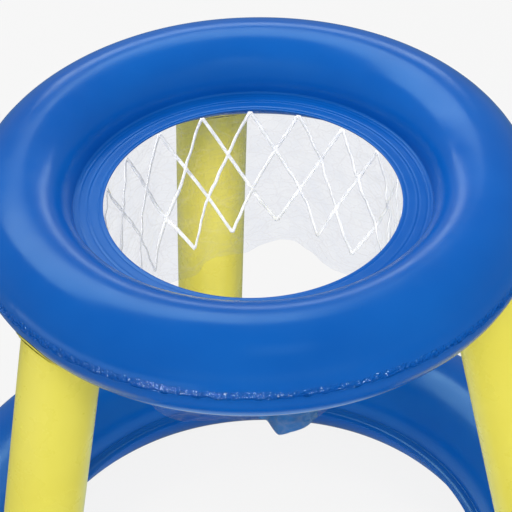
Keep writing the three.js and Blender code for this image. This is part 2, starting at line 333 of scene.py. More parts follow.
def bump(tree, shader, layers):
    """Stacks bumps, each a texture, a strength and a height."""
    normal = {}
    for texture, strength, distance in layers:
        values = {"Height": texture.outputs["Fac"], "Strength": strength, "Distance": distance, **normal}
        normal = {"Normal": add_node(tree, "Bump", values).outputs["Normal"]}
    fill(tree, shader, normal)


def linear(*screen):
    """A screen colour of 0 to 255 as linear light."""
    return tuple(((v / 255 + 0.055) / 1.055) ** 2.4 if v > 10 else v / 255 / 12.92 for v in screen)


def vinyl(name, first, second, roughness, shine=(1, 1, 1), pebbled=0):
    """Glossy printed vinyl film: cloudy colour, a faint orange peel and fine handling marks."""
    material, tree, shader = new_material(name)
    cloud, smear = noise(tree, 9.0, 3.0), noise(tree, 38.0, 4.0, 0.6)
    swell, peel = noise(tree, 30.0, 1.0), noise(tree, 900.0, 2.0)
    fill(tree, shader, {
        "Base Color": two_colours(tree, cloud, first, second),
        "Roughness": spread_of(tree, smear, *roughness),
        "Specular IOR Level": 0.42,
        "Specular Tint": (*shine, 1),
    })
    layers = [(swell, 0.25, 0.6 * MM), (peel, 0.12, 0.1 * MM)]
    if pebbled:
        layers.append((noise(tree, 330.0, 1.0), pebbled, 3 * MM))
    bump(tree, shader, layers)
    return material


def creases(tree, scale, warp, width):
    """Thin wandering lines, 1 on a line and 0 off it."""
    bend = noise(tree, scale * 0.7, 3.0).outputs["Color"]
    spot = add_node(tree, "TexCoord", {}).outputs["Object"]
    flat = add_node(tree, "VectorMath", {0: spot, 1: (1, 1, 2)}, operation="MULTIPLY").outputs["Vector"]
    values = {0: bend, 1: (warp, warp, warp), 2: flat}
    shifted = add_node(tree, "VectorMath", values, operation="MULTIPLY_ADD").outputs["Vector"]
    cells = add_node(tree, "TexVoronoi", {"Scale": scale, "Vector": shifted}, feature="DISTANCE_TO_EDGE")
    return ranged(tree, cells.outputs["Distance"], (1, 0), (0, width))


def clear_film(name):
    """Clear film: faintly grey looked through, glossy, creased, and hazier where it is seen edge on."""
    material, tree, shader = new_material(name)
    haze, cloud = noise(tree, 60.0, 5.0, 0.6), noise(tree, 45.0, 4.0, 0.6)
    milk = two_colours(tree, haze, linear(168, 171, 192), linear(208, 210, 224))
    fill(tree, shader, {"Base Color": milk, "Roughness": 0.12, "IOR": 1.5})
    bump(tree, shader, [(noise(tree, 120.0, 3.0, 0.55), 0.5, 0.8 * MM)])
    line = combined(tree, "MAXIMUM", creases(tree, 30.0, 0.03, 0.05), creases(tree, 75.0, 0.015, 0.05))
    tint = two_colours(tree, cloud, (0.945, 0.957, 0.982), (0.973, 0.98, 0.993))
    tint = blended(tree, combined(tree, "MULTIPLY", line, 0.6), tint, (0.985, 0.985, 0.99, 1))
    through = add_node(tree, "BsdfTransparent", {"Color": tint}).outputs["BSDF"]
    grazing = add_node(tree, "LayerWeight", {"Blend": 0.35}).outputs["Facing"]
    cover = ranged(tree, grazing, (0.015, 0.08))
    cover = combined(tree, "ADD", cover, combined(tree, "MULTIPLY", line, 0.06))
    surface = mixed(tree, cover, through, shader.outputs["BSDF"])
    fill(tree, tree.nodes["Material Output"], {"Surface": surface})
    return material


def tinted_film(name):
    """Smoky blue film that still lets some light through. It is painted shade, standing in for the dark blue
    shade seen through the net's film.
    """
    material, tree, shader = new_material(name)
    haze, smear = noise(tree, 90.0, 4.0, 0.6), noise(tree, 60.0, 3.0)
    fill(tree, shader, {
        "Base Color": two_colours(tree, haze, linear(4, 110, 180), linear(8, 122, 196)),
        "Roughness": spread_of(tree, smear, 0.15, 0.3),
        "Alpha": 0.86,
    })
    bump(tree, shader, [(noise(tree, 120.0, 3.0, 0.55), 0.4, 0.6 * MM)])
    return material


def printed_strand(name):
    """White print that lies thick on the film."""
    material, tree, shader = new_material(name)
    fill(tree, shader, {
        "Base Color": two_colours(tree, noise(tree, 70.0, 3.0), linear(247, 247, 244), linear(253, 253, 250)),
        "Roughness": 0.38,
        "Subsurface Weight": 1,
        "Subsurface Radius": (1, 1, 1),
        "Subsurface Scale": 0.6 * MM,
    })
    bump(tree, shader, [(noise(tree, 1400.0, 2.0), 0.2, 0.1 * MM)])
    return material


def milky(name):
    """Soft moulded vinyl of the valves."""
    material, tree, shader = new_material(name)
    cloud, smear = noise(tree, 160.0, 3.0), noise(tree, 240.0, 2.0)
    fill(tree, shader, {
        "Base Color": two_colours(tree, cloud, linear(206, 214, 222), linear(228, 233, 237)),
        "Roughness": spread_of(tree, smear, 0.28, 0.42),
        "Subsurface Weight": 0.25,
        "Subsurface Scale": 4 * MM,
    })
    bump(tree, shader, [(noise(tree, 1600.0, 2.0), 0.25, 0.1 * MM)])
    return material


BLUE = vinyl("blue_vinyl", linear(3, 85, 175), linear(8, 94, 185), (0.17, 0.27), (0.45, 0.9, 1))
SEAM = vinyl("seam_vinyl", linear(3, 83, 173), linear(8, 93, 183), (0.04, 0.07), (0.7, 0.95, 1), 0.9)
YELLOW = vinyl("yellow_vinyl", linear(229, 218, 78), linear(236, 226, 90), (0.24, 0.34))
FILM = clear_film("clear_film")
SHADE_FILM = tinted_film("tinted_film")
WHITE = printed_strand("white_strands")
MILKY = milky("milky_vinyl")


# Where the valves are

class ValvePlace:
    """A valve's own frame: its origin on the skin, +Z out of the ring, its strap towards -X."""

    def __init__(self, ring):
        tilt = VALVE_TILTS[ring.name]
        self.ring = ring
        round_axis = np.array([math.cos(VALVE_TURN), math.sin(VALVE_TURN), 0])
        self.out = math.cos(tilt) * round_axis + math.sin(tilt) * np.array([0, 0, 1])
        self.along = np.array([-math.sin(VALVE_TURN), math.cos(VALVE_TURN), 0])
        self.basis = np.stack([self.along, np.cross(self.out, self.along), self.out])
        reach = ring.tube * math.cos(math.pi / VALVE_ARC_STEPS / 2)
        self.origin = round_axis * ring.radius + np.array([0, 0, ring.height]) + self.out * reach

    def to_local(self, points):
        return (points - self.origin) @ self.basis.T

    def to_world(self, points):
        return points @ self.basis + self.origin


HOOP_VALVE = ValvePlace(HOOP)
BASE_VALVE = ValvePlace(BASE)


# Rings

BEAD_SPACING = 4.2 * MM
BEAD_HEIGHTS = (0.5 * MM, 1.7 * MM)
BEAD_RADII = (0.7 * MM, 1.15 * MM)
PUCKER_COLUMNS = {"hoop": 1440, "base": 960}
# Puckers: how many round the ring, how unevenly, how deep and how far they reach from the weld
PUCKER_LAYERS = [(230, 1.6, 0.35 * MM, 2.2 * MM), (116, 1.2, 0.35 * MM, 5 * MM), (58, 1.0, 0.4 * MM, 12 * MM)]
LIP_ROWS, TUBE_ROWS, WIDE_FLANGE_ROWS, NARROW_FLANGE_ROWS = 5, 47, 41, 13
SEAM_FILLET = 0.8 * MM
SEAM_FILLET_TURNS = (20, 45, 70)
FILLET_LAP = 1.2 * MM
WIDE_FLANGE = 15 * MM
# Pressed lines: their share of the flange's width, and their width and rise in millimetres
WELD_LINES = [(0.13, 0.8, -0.2), (0.43, 0.6, -0.2), (0.5, 0.8, 0.15), (0.85, 0.6, -0.22), (0.94, 0.9, 0.12)]
LIP_RISE = 0.55 * MM
LIP_REACH = 0.35 * MM
LIP_START = 1 * MM
LIP_FADE = 2 * MM
SWELL_DEPTH = 0.35 * MM
CONTACT_FADE = 6 * MM
SKIN_INSIDE = 0.9 * SKIN_WALL
VALVE_HOLE_REACH = 6 * MM


def ring_path(ring, pressed):
    """The upper skin's outside, from the lip's edge over the tube to the hole.

    Rows of radius, height above the seam, the outward normal and the distance from the outer weld."""
    tube, corner = ring.tube, ring.radius + ring.tube + SEAM_FILLET
    lip_shares = np.linspace(1, 0, LIP_ROWS)
    rows = [(corner + (ring.lip - SEAM_FILLET) * share, SKIN_WALL, 0, 1) for share in lip_shares]
    for turn in np.radians(SEAM_FILLET_TURNS):
        out, up = math.sin(turn), math.cos(turn)
        rows.append((corner - SEAM_FILLET * out, SKIN_WALL + SEAM_FILLET * (1 - up), out, up))
    start = math.asin((SKIN_WALL + SEAM_FILLET) / tube)
    end = math.pi - math.asin((SKIN_WALL + max(SEAM_FILLET, ring.fillet - FILLET_LAP)) / tube)
    for angle in start + (end - start) * closer_at_ends(TUBE_ROWS, 0.55):
        height = min(tube * math.sin(angle), tube - pressed)
        rows.append((ring.radius + tube * math.cos(angle), height, math.cos(angle), math.sin(angle)))
    path = np.array(rows + flange_rows(ring))
    steps = np.hypot(*np.diff(path[:, :2], axis=0).T)
    distance = np.concatenate([[0], np.cumsum(steps)])
    return np.column_stack([path, np.abs(distance - distance[LIP_ROWS - 1])])


def flange_rows(ring):
    """The fillet at the tube's inner foot and the inner flange, with its pressed weld lines, to the hole."""
    rows = []
    start = ring.radius - ring.tube - ring.fillet
    for turn in np.radians(ring.fillet_turns):
        out, up = math.sin(turn), math.cos(turn)
        rows.append((start + ring.fillet * out, SKIN_WALL + ring.fillet * (1 - up), -out, up))
    width = start - ring.hole
    for share in np.linspace(0, 1, WIDE_FLANGE_ROWS if width > WIDE_FLANGE else NARROW_FLANGE_ROWS):
        rows.append((start - width * share, SKIN_WALL + weld_relief(width, width * share), 0, 1))
    return rows


def weld_relief(width, across):
    """Height of the pressed lines at a distance in from the tube."""
    if width < WIDE_FLANGE:
        return 0
    return sum(rise * MM * math.exp(-(((across - share * width) / (line * MM)) ** 2))
               for share, line, rise in WELD_LINES)


def ring_surface(ring, side, pressed, seed):
    """Points of one skin's outside and of its inside, (columns, rows, 3) each."""
    path = ring_path(ring, pressed)
    angle = round_angles(PUCKER_COLUMNS[ring.name])
    rng = np.random.default_rng(seed)
    lip_rise = LIP_RISE * waves(angle, range(40, 130, 6), rng)
    lip_reach = LIP_REACH * waves(angle, range(12, 90, 5), rng)
    folds = [(gathers(angle, count, wander, rng)[:, None], depth, fade)
             for count, wander, depth, fade in PUCKER_LAYERS]
    swell = [waves(angle, range(2, 9), rng)[:, None] for _ in range(2)]
    radius, height, out, up, distance = (path[:, i][None, :] for i in range(5))
    tube_angle = np.arctan2(height, radius - ring.radius)
    outer = ring.radius + ring.tube
    on_lip = radius > outer + LIP_START
    press = SWELL_DEPTH * np.clip(np.sin(tube_angle), 0, 1) * (swell[0] * np.cos(tube_angle) + swell[1] * 0.6)
    for ridges, depth, fade in folds:
        press = press - depth * (1 - ridges) * np.exp(-distance / fade) * np.where(on_lip, 0, 1)
    if pressed:
        press = press * np.clip((ring.tube - height) / CONTACT_FADE, 0, 1)
    rise = lip_rise[:, None] * np.where(on_lip, 1, np.exp(-distance / LIP_FADE))
    reach = lip_reach[:, None] * np.where(on_lip, 1, 0) * np.clip((radius - outer) / ring.lip, 0, 1)
    surfaces = []
    for lift in (press, press - SKIN_INSIDE):
        z = ring.height + side * (height + up * lift) + rise
        surfaces.append(on_circles(angle[:, None], radius + out * lift + reach, z))
    return surfaces


def skin_quads(columns, rows, gone):
    """Quads of a closed skin, less those that touch a gone point, with walls round the holes."""
    quads = grid_quads(columns, 2 * rows, True, True)
    lost = gone.ravel()[quads].any(1)
    kept, lost = quads[~lost], quads[lost]
    if len(lost) == 0:
        return quads
    loop = 2 * rows
    edges = {(int(a), int(b)) for quad in lost for a, b in zip(quad, np.roll(quad, -1))}
    rim = [(a, b) for a, b in edges if (b, a) not in edges and a % loop < rows and b % loop < rows]

    def twin(i):
        return i - i % loop + loop - 1 - i % loop

    walls = np.array([(a, b, twin(b), twin(a)) for a, b in rim])
    return np.concatenate([kept, walls])


def ring_skin(ring, side, pressed, seed, holes):
    """A ring's upper or lower skin, pressed flat by a depth, with a hole for each of the valves."""
    outside, inside = ring_surface(ring, side, pressed, seed)
    points = film_grid(outside, inside)
    gone = np.zeros(points.shape[:2], bool)
    for valve in holes:
        local = valve.to_local(points)
        across = np.hypot(local[..., 0], local[..., 1])
        near = (np.abs(local[..., 2]) < VALVE_HOLE_REACH) & (across < VALVE_HOLE)
        gone |= near | near[:, ::-1]
    half = "upper" if side > 0 else "lower"
    points, faces = without_loose(points.reshape(-1, 3), skin_quads(*outside.shape[:2], gone))
    obj = make_object(f"{ring.name}_{half}_film", points, faces, BLUE)
    return place(obj, "frame", "blue_vinyl", f"{ring.name}_{half}_skin")


SEAM_COLUMNS = 5400
SEAM_RISES = np.concatenate([np.arange(1.0, 4, 0.25), np.arange(4, 8.1, 0.5)]) * MM
KNURL_LENGTHS = (6 * MM, 2.6 * MM)
KNURL_DEPTH = 0.2 * MM
LUMP_LENGTH = 12.5 * MM
LUMP_DEPTH = 0.25 * MM
STRIP_DEPTH = 0.12 * MM


def seam_rows(ring):
    """The strip's rows of radius, height, the outward normal and how strong the knurls are there."""
    outer = ring.radius + ring.tube
    rows = [
        (outer + ring.lip - 0.2 * MM, SKIN_WALL + 0.1 * MM, 0.6, 0.8, 0.3),
        (outer + 1.1 * MM, SKIN_WALL + 0.15 * MM, 0.2, 1, 0.5),
        (outer + 0.6 * MM, SKIN_WALL + 0.4 * MM, 0.7, 0.7, 0.8),
    ]
    for rise in SEAM_RISES:
        turn = math.asin(rise / ring.tube)
        reach = ring.tube + 0.1 * MM - 0.75 * MM * np.clip((rise - 3 * MM) / (5 * MM), 0, 1) ** 1.3
        strength = math.exp(-((rise - SEAM_RISES[0]) / (2.6 * MM)) ** 1.5)
        out, up = math.cos(turn), math.sin(turn)
        rows.append((ring.radius + reach * out, reach * up, out, up, strength))
    return rows


def seam_strip(ring, seed):
    """The fine knurled weld along the ring's outer edge, a thin strip over the foot of the upper skin."""
    rng = np.random.default_rng(seed)
    angle = round_angles(SEAM_COLUMNS)
    rows = seam_rows(ring)
    radius, z, out, up, fade = np.array(rows).T[:, None, :]
    outer = ring.radius + ring.tube
    per_turn = FULL_TURN * outer
    strength = np.clip(0.5 + 0.55 * waves(angle, range(3, 60, 3), rng), 0.05, 1.4)[:, None]
    fine = waves(angle, range(*(int(per_turn / length) for length in KNURL_LENGTHS), 9), rng)[:, None]
    lumps = gathers(angle, int(per_turn / LUMP_LENGTH), 0.9, rng)[:, None] ** 3
    along = np.sin(z / MM * 2.1 + 9 * waves(angle, range(20, 160, 7), rng)[:, None])
    proud = fade * (KNURL_DEPTH * fine * strength * (1 + 0.4 * along) + LUMP_DEPTH * lumps)
    proud = proud + weld_beads(angle, z - SKIN_WALL, outer, rng)
    low = -STRIP_DEPTH * np.sin(math.pi * np.linspace(0.04, 0.96, len(rows))) - WELD_GAP
    faces = [on_circles(angle[:, None], radius + out * lift, ring.height + z + up * lift)
             for lift in (proud, low)]
    obj = make_object(f"{ring.name}_seam", *closed_grid(film_grid(*faces)), SEAM)
    return place(obj, "frame", "blue_vinyl")


def weld_beads(angle, rise, outer, rng):
    """Small round beads along the weld, unevenly spaced and of uneven size."""
    count = int(FULL_TURN * outer / BEAD_SPACING)
    cell = np.minimum((angle / FULL_TURN * count).astype(int), count - 1)
    centre = (np.arange(count) + rng.uniform(0.34, 0.66, count)) * FULL_TURN / count
    high = rng.uniform(*BEAD_HEIGHTS, count)
    radius = rng.uniform(*BEAD_RADII, count)
    patchy = np.clip(0.75 + 0.5 * waves(centre, range(4, 40, 3), rng), 0, 1)
    size = np.where(rng.uniform(0, 1, count) < patchy, rng.uniform(0.35, 0.6, count), 0.08)
    along = (angle - centre[cell])[:, None] * outer
    off = np.hypot(along, rise - high[cell][:, None]) / radius[cell][:, None]
    return (size * radius)[cell][:, None] * np.clip(1 - off ** 2, 0, 1) ** 0.8


def without_loose(points, quads):
    """The points that the quads use, and the quads numbered to match."""
    used = np.zeros(len(points), bool)
    used[quads.ravel()] = True
    number = np.cumsum(used) - 1
    return points[used], [number[quads]]


HOOP_SKINS = [ring_skin(HOOP, 1, 0, 11, []), ring_skin(HOOP, -1, 0, 11, [HOOP_VALVE])]
ring_skin(BASE, 1, 0, 23, [BASE_VALVE])
ring_skin(BASE, -1, CONTACT_DEPTH, 23, [])
SEAMS = [seam_strip(HOOP, 31), seam_strip(BASE, 33)]


# Legs

LEG_COLUMNS = 144
SLEEVE_GAP = 0.3 * MM
GATHER_COUNT = 30
GATHER_DEPTH = 0.7 * MM
GATHER_FADE = 9 * MM
SOFTNESS = 0.35 * MM
FLARE = 2.5 * MM
LAP_HEIGHT = 0.35 * MM
# The lap faces +Y. Its width and soft edge are measured as 1 less the cosine of the turn from there
LAP_WIDTH = 0.006
LAP_EDGE = 0.0008
COLLAR_GAP = 0.5 * MM
# Shares of the collar's width, and heights above the ring in millimetres
COLLAR_PROFILE = [
    (0.0, 0.1), (0.02, 0.55), (0.3, 0.5), (0.36, 0.75), (0.42, 0.5), (0.58, 0.5), (0.64, 0.75),
    (0.7, 0.5), (0.93, 0.5), (1.0, 0.35), (1.0, 0.02), (0.7, 0.02), (0.3, 0.02),
]


def along_leg(ring, start, direction, reach, grow):
    """How far from start, along direction, each line leaves the ring's tube, grown by a film or two."""
    low, high = np.zeros(len(start)), np.full(len(start), reach)
    for _ in range(40):
        middle = (low + high) / 2
        point = start + direction * middle[:, None]
        around = np.hypot(point[:, 0], point[:, 1]) - ring.radius
        inside = np.hypot(around, point[:, 2] - ring.height) < ring.tube + grow
        low, high = np.where(inside, middle, low), np.where(inside, high, middle)
    return (low + high) / 2


class Leg:
    """A leg's line and the two directions across it."""

    def __init__(self, angle):
        out = np.array([math.cos(angle), math.sin(angle), 0])
        self.top = out * HOOP.radius + [0, 0, HOOP.height]
        self.foot = out * (BASE.radius + LEG_FOOT_SET_OUT) + [0, 0, BASE.height]
        self.length = np.linalg.norm(self.foot - self.top)
        self.down = (self.foot - self.top) / self.length
        self.side = np.array([-math.sin(angle), math.cos(angle), 0])
        self.front = np.cross(self.side, self.down)

    def spokes(self):
        """Angles round the leg, and the directions across it at each."""
        turn = round_angles(LEG_COLUMNS)
        return turn, np.cos(turn)[:, None] * self.side + np.sin(turn)[:, None] * self.front


def leg_sleeve(index, leg):
    """A leg's tube, gathered at both ends and lapped along one side."""
    rng = np.random.default_rng(40 + index)
    turn, spokes = leg.spokes()
    start = leg.top + spokes * LEG_RADIUS
    top = along_leg(HOOP, start, leg.down, leg.length / 2, SLEEVE_GAP)
    from_foot = along_leg(BASE, leg.foot + spokes * LEG_RADIUS, -leg.down, leg.length / 2, SLEEVE_GAP)
    foot = leg.length - from_foot
    shares = closer_at_ends(121, 0.6)
    at = top[:, None] + (foot - top)[:, None] * shares
    near = np.minimum(at - top[:, None], foot[:, None] - at)
    creased = GATHER_DEPTH * gathers(turn, GATHER_COUNT, 0.8, rng)[:, None] * np.exp(-near / GATHER_FADE)
    soft = SOFTNESS * waves(turn, range(2, 6), rng)[:, None] * np.sin(math.pi * shares)
    spread = FLARE * (1 - np.sqrt(1 - np.clip(1 - near / FLARE, 0, 1) ** 2))
    lap = LAP_HEIGHT / (1 + np.exp(np.minimum((np.abs(spokes[:, 1] - 1) - LAP_WIDTH) / LAP_EDGE, 100)))
    radius = LEG_RADIUS - creased + soft + spread * 0.8 + lap[:, None]
    faces = [leg.top + spokes[:, None] * reach[..., None] + leg.down * at[..., None]
             for reach in (radius, radius - SKIN_WALL)]
    obj = make_object(f"leg_{index}_film", *closed_grid(film_grid(*faces)), YELLOW)
    return place(obj, "frame", "yellow_vinyl", f"leg_{index}_sleeve")


def leg_collar(index, leg, ring, end):
    """The weld margin round the leg's end, lying on the ring, with pressed ribs."""
    origin, direction = (leg.top, leg.down) if end == "top" else (leg.foot, -leg.down)
    turn, spokes = leg.spokes()
    rng = np.random.default_rng(60 + index)
    edge = 1 + 0.05 * waves(turn, range(3, 20), rng)
    layers = []
    for share, rise in COLLAR_PROFILE:
        start = origin + spokes * (LEG_RADIUS + COLLAR_GAP + COLLAR_WIDTH * share * edge[:, None])
        far = along_leg(ring, start, direction, leg.length / 2, rise * MM)
        layers.append(start + direction * far[:, None])
    obj = make_object(f"leg_{index}_{end}_margin", *closed_grid(np.stack(layers, 1)), YELLOW)
    place(obj, "frame", "yellow_vinyl", f"leg_{index}_{end}_collar")


sleeves = []
for number, leg_angle in enumerate(LEG_ANGLES, 1):
    this_leg = Leg(leg_angle)
    sleeves.append(leg_sleeve(number, this_leg))
    leg_collar(number, this_leg, HOOP, "top")
    leg_collar(number, this_leg, BASE, "foot")
BACK_LEG, _, RIGHT_LEG = sleeves


# Net

NET_TOP = HOOP.height - SKIN_WALL - FILM_WALL - NET_GAP
NET_COLUMNS = 720
NET_ROWS = 120


def crumple_waves():
    """Whole numbers of waves round the net and their rise, phase and height, steep ones low."""
    rng = np.random.default_rng(7)
    rows = []
    for _ in range(CRUMPLE_COUNT):
        around = int(rng.integers(*CRUMPLE_ROUND))
        down = rng.uniform(-1, 1) * CRUMPLE_DOWN
        rows.append((around, down, rng.uniform(0, FULL_TURN), 1 / math.hypot(around / 12, down / 110, 0.8)))
    return rows


CRUMPLE = crumple_waves()


def bulges(angle, places):
    """Rounded bulges round the net, summed."""
    total = np.zeros_like(angle)
    for middle, before, after, size in places:
        off = np.degrees(np.mod(angle - math.radians(middle) + math.pi, FULL_TURN) - math.pi)
        reach = np.clip(off / np.where(off < 0, before, after), -1, 1)
        total = total + size * np.cos(math.pi / 2 * reach) ** 2
    return total


def net_points(angle, depth, offset):
    """Points on the crumpled net: angles round the hoop, depths below its top, offset outwards."""
    share = depth / NET_DEPTH
    folds = FOLD_DEPTH * np.cos(FOLD_COUNT * (angle - FOLD_TURN)) + bulges(angle, PLEATS)
    sway = SWAY_DEPTH * np.cos(SWAY_COUNT * (angle - FOLD_TURN))
    crumple = np.zeros_like(angle)
    warp = 0.6 * np.sin(5 * angle + 30 * depth) + 0.5 * np.sin(9 * angle - 47 * depth + 1.7)
    for around, down, phase, size in CRUMPLE:
        crumple = crumple + size * triangle_wave(around * angle + down * depth + phase + warp)
    crumple = CRUMPLE_DEPTH * crumple * np.clip(depth / CRUMPLE_FADE, 0, 1)
    radius = HOLE_RADIUS + (NET_HEM_RADIUS - HOLE_RADIUS + folds + sway) * share + crumple + offset
    return on_circles(angle, radius, NET_TOP - depth * (1 + bulges(angle, SAGS)))


def hem_waves():
    """Whole numbers of waves round the hem, each with its size and phase."""
    rng = np.random.default_rng(3)
    return [(count, rng.normal() / 3, rng.uniform(0, FULL_TURN)) for count in range(3, 12)]


HEM_WAVES = hem_waves()


def hem_depth(angle):
    """How deep the film hangs, which wanders a little round the hoop."""
    wander = sum(size * np.sin(count * angle + phase) for count, size, phase in HEM_WAVES)
    return NET_DEPTH * (1 + HEM_WANDER * wander)


def film_piece(name, angle, top, face, material, closes):
    """Film over the angles, from a depth down to the hem, inwards of an offset from the net's face."""
    rows = max(12, int(NET_ROWS * (1 - top / NET_DEPTH)))
    depth = top + (hem_depth(angle)[:, None] - top) * np.linspace(0, 1, rows)
    angle = np.broadcast_to(angle[:, None], depth.shape)
    points = film_grid(net_points(angle, depth, face), net_points(angle, depth, face - FILM_WALL))
    columns, rows = points.shape[:2]
    faces = [grid_quads(columns, rows, closes, True)]
    if not closes:
        for column in (0, columns - 1):
            strip = column * rows + np.arange(rows // 2)
            twin = column * rows + rows - 1 - np.arange(rows // 2)
            side = np.column_stack([strip[:-1], strip[1:], twin[1:], twin[:-1]])
            faces.append(side if column == 0 else side[:, ::-1])
    return make_object(name, points.reshape(-1, 3), faces, material)


def net_film():
    obj = film_piece("net_skirt", round_angles(NET_COLUMNS), 0, 0, FILM, True)
    return place(obj, "frame", "clear_film", "net_film")


# Painted shade: a sheet of smoky blue film inside the net's near hem stands in for the dark shade seen
# through the film there.
def net_patch():
    angle = np.radians(np.linspace(*SHADE_SHEET_SPAN, 60))
    face = -FILM_WALL - STRAND_THICKNESS - 2 * PRINT_GAP
    obj = film_piece("net_painted_shade", angle, SHADE_SHEET_TOP, face, SHADE_FILM, False)
    return place(obj, "frame", "tinted_film", "net_patch")


class Lattice:
    """Triangles over places of angle and depth, where a place met again is the same corner."""

    def __init__(self):
        self.places = []
        self.known = {}
        self.faces = []

    def corner(self, spot):
        key = (round(spot[0] % FULL_TURN, 6) % round(FULL_TURN, 6), round(spot[1], 7))
        if key not in self.known:
            self.known[key] = len(self.places)
            self.places.append(spot)
        return self.known[key]

    def face(self, *spots):
        self.faces.append([self.corner(s) for s in spots])

    def closed_points(self, low, high):
        """Points and triangles of the lattice as a closed skin between two offsets."""
        spots = np.array(self.places)
        points = np.concatenate([net_points(*spots.T, offset) for offset in (low, high)])
        top = np.array(self.faces)
        count = len(spots)
        edges = np.concatenate([top[:, [0, 1]], top[:, [1, 2]], top[:, [2, 0]]])
        there = {tuple(e) for e in edges.tolist()}
        rim = np.array([e for e in edges.tolist() if (e[1], e[0]) not in there])
        walls = np.column_stack([rim[:, 0], rim[:, 1], rim[:, 1] + count, rim[:, 0] + count])
        return points, [top[:, ::-1], top + count, walls]


ANGLE_STEP = FULL_TURN / DIAMOND_COUNT / 2
DEPTH_STEP = DIAMOND_HEIGHT / 2
STRETCH_PARTS = 20
LAST_ROW = 3


def crossing(column, row):
    """The corners and the middle of the small diamond where two strands cross."""
    slope = ANGLE_STEP * (HOLE_RADIUS + NET_HEM_RADIUS) / 2 / DEPTH_STEP
    half_turn = STRAND_WIDTH / 2 * math.hypot(1, slope) / HOLE_RADIUS
    half_drop = STRAND_WIDTH / 2 * math.hypot(1, slope) / slope
    angle, depth = NET_TURN + column * ANGLE_STEP, row * DEPTH_STEP
    spots = {"up": (0, -half_drop), "right": (half_turn, 0), "down": (0, half_drop), "left": (-half_turn, 0)}
    spots["middle"] = (0, 0)
    return {name: np.array([angle + turn, depth + drop]) for name, (turn, drop) in spots.items()}


def add_crossing(lattice, column, row):
    """A crossing's diamond, or half of it at the lattice's top and foot."""
    at = crossing(column, row)
    ring = ["up", "right", "down", "left"]
    for first, second in zip(ring, ring[1:] + ring[:1]):
        if row == 0 and "up" in (first, second) or row == LAST_ROW and "down" in (first, second):
            continue
        between = (at[first] + at[second]) / 2
        lattice.face(at[first], between, at["middle"])
        lattice.face(between, at[second], at["middle"])


def add_stretch(lattice, column, row, side):
    """A strand from one crossing to the next one below, as two rows of short quads."""
    start, end = crossing(column, row), crossing(column + side, row + 1)
    near, far = ("right", "left") if side > 0 else ("left", "right")
    outer = [start[near], end["up"]]
    inner = [start["down"], end[far]]
    for i in range(STRETCH_PARTS):
        for lane in (0, 1):
            spots = []
            for part, across in ((i, lane), (i + 1, lane), (i + 1, lane + 1), (i, lane + 1)):
                share = part / STRETCH_PARTS
                a = outer[0] + (outer[1] - outer[0]) * share
                b = inner[0] + (inner[1] - inner[0]) * share
                spots.append(a + (b - a) * across / 2)
            if side < 0:
                spots.reverse()
            lattice.face(spots[0], spots[1], spots[2])
            lattice.face(spots[0], spots[2], spots[3])


def net_strands():
    """The printed lattice, one and a half diamonds high, on the film's inner face."""
    lattice = Lattice()
    for row in range(LAST_ROW + 1):
        for i in range(DIAMOND_COUNT):
            column = 2 * i + row % 2
            add_crossing(lattice, column, row)
            if row < LAST_ROW:
                add_stretch(lattice, column, row, 1)
                add_stretch(lattice, column, row, -1)
    face = -FILM_WALL - PRINT_GAP
    points, faces = lattice.closed_points(face - STRAND_THICKNESS, face)
    obj = make_object("net_lattice", points, faces, WHITE)
    return place(obj, "frame", "white_strands", "net_strands")


def net_band():
    """The film's margin under the hoop's flange."""
    top = HOOP.height - SKIN_WALL - WELD_GAP
    near, far = HOLE_RADIUS + NET_BAND_INSET, HOLE_RADIUS + NET_BAND_WIDTH
    path = [(near, top), (far, top), (far, top - FILM_WALL), (near, top - FILM_WALL)]
    obj = make_object("net_margin", *lathe(path, 360), FILM)
    return place(obj, "frame", "clear_film", "net_band")


skirt = net_film()
lattice_piece = net_strands()
painted_shade_piece = net_patch()
net_band()


# Valves

def rounded(profile, radius, steps=3):
    """A closed profile with each corner rounded."""
    profile = np.array(profile, float)
    rows = []
    for i, corner in enumerate(profile):
        before, after = profile[i - 1] - corner, profile[(i + 1) % len(profile)] - corner
        reach_before = min(radius, 0.45 * np.linalg.norm(before))
        reach_after = min(radius, 0.45 * np.linalg.norm(after))
        start = corner + before / np.linalg.norm(before) * reach_before
        end = corner + after / np.linalg.norm(after) * reach_after
        for share in np.linspace(0, 1, steps + 1):
            rows.append((1 - share) ** 2 * start + 2 * share * (1 - share) * corner + share ** 2 * end)
    return np.array(rows)


def end_fans(first, last, count):
    """Triangles from two closing points, numbered count and count + 1, to a shape's first and last rings."""
    start, end = np.full(len(first), count), np.full(len(last), count + 1)
    fans = [(start, np.roll(first, -1), first), (last, np.roll(last, -1), end)]
    return [np.column_stack(fan) for fan in fans]


def knob(profile, columns=96):
    """A lathe for a profile that starts and ends on the axis: its end rings close on one point each."""
    points, _ = lathe(profile[1:-1], columns)
    rows = len(profile) - 2
    ends = np.array([[0, 0, profile[0][1]], [0, 0, profile[-1][1]]])
    first = np.arange(columns) * rows
    fans = end_fans(first, first + rows - 1, len(points))
    return np.concatenate([points, ends]), [grid_quads(columns, rows)] + fans


def strap(start, end, low, high):
    """A flat strip along X with rounded edges, between two places and two heights."""
    half = STRAP_WIDTH / 2
    section = rounded([(-half, low), (half, low), (half, high), (-half, high)], MOULD_EDGE)
    places = np.linspace(start, end, 9)
    points = np.array([(x, y, z) for x in places for y, z in section])
    ends = np.array([(start, 0, (low + high) / 2), (end, 0, (low + high) / 2)])
    first = np.arange(len(section))
    fans = end_fans(first, first + len(points) - len(section), len(points))
    return np.concatenate([points, ends]), [grid_quads(len(places), len(section), False, True)] + fans


def bead(reach, height, radius, width):
    """The thick fold in the strap at its hinge, a rod with rounded ends along Y."""
    low, high = (0, -width / 2), (0, width / 2)
    corners = rounded([low, (radius, low[1]), (radius, high[1]), high], HINGE_EDGE)
    points, faces = knob([low] + list(corners[4:12]) + [high], 40)
    turned_points = np.column_stack([points[:, 0], points[:, 2], -points[:, 1]])
    return turned_points + [reach, 0, height], faces


